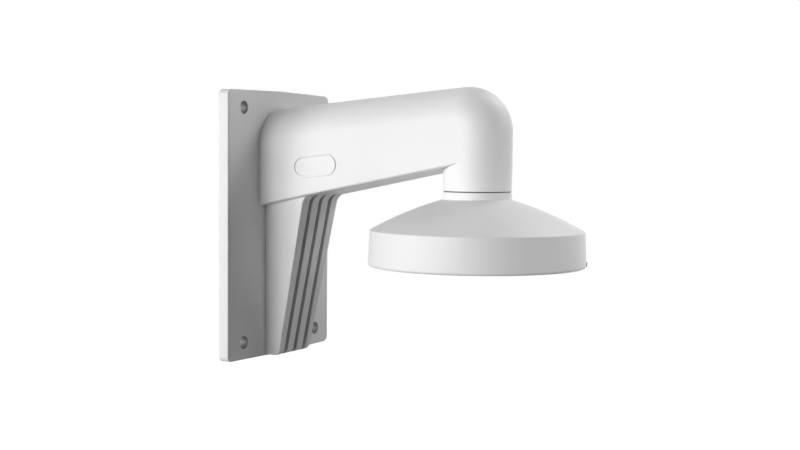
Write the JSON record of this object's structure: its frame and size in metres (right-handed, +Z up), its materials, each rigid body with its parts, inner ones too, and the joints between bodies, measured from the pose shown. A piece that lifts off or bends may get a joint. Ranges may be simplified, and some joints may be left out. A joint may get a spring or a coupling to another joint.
{
  "type": "camera wall bracket",
  "caption": "White cast wall bracket: a wall plate with a hollow tapering arm and grooved leg, a neck turned down at the end, and a round cap that a dome camera is screwed into.",
  "frame": {"origin": "centre of the four wall holes, on the plane of the wall", "axes": "+Y into the wall, the arm points to -Y, +X to the right seen from the front, +Z up"},
  "size_m": [0.14, 0.2318, 0.1843],
  "materials": {
    "powder_coat": "white powder coat, fine texture, semi-matt",
    "gasket_rubber": "matt black rubber",
    "plated_steel": "zinc plated steel",
    "black_steel": "black oxide steel"
  },
  "bodies": {
    "root": {"bracket_casting": "powder_coat", "camera_cap": "powder_coat", "neck_gasket": "gasket_rubber", "set_screw": "black_steel", "cap_screw_1": "plated_steel", "spring_washer_1": "plated_steel", "cap_screw_2": "plated_steel", "spring_washer_2": "plated_steel", "cap_screw_3": "plated_steel", "spring_washer_3": "plated_steel"}
  },
  "joints": []
}
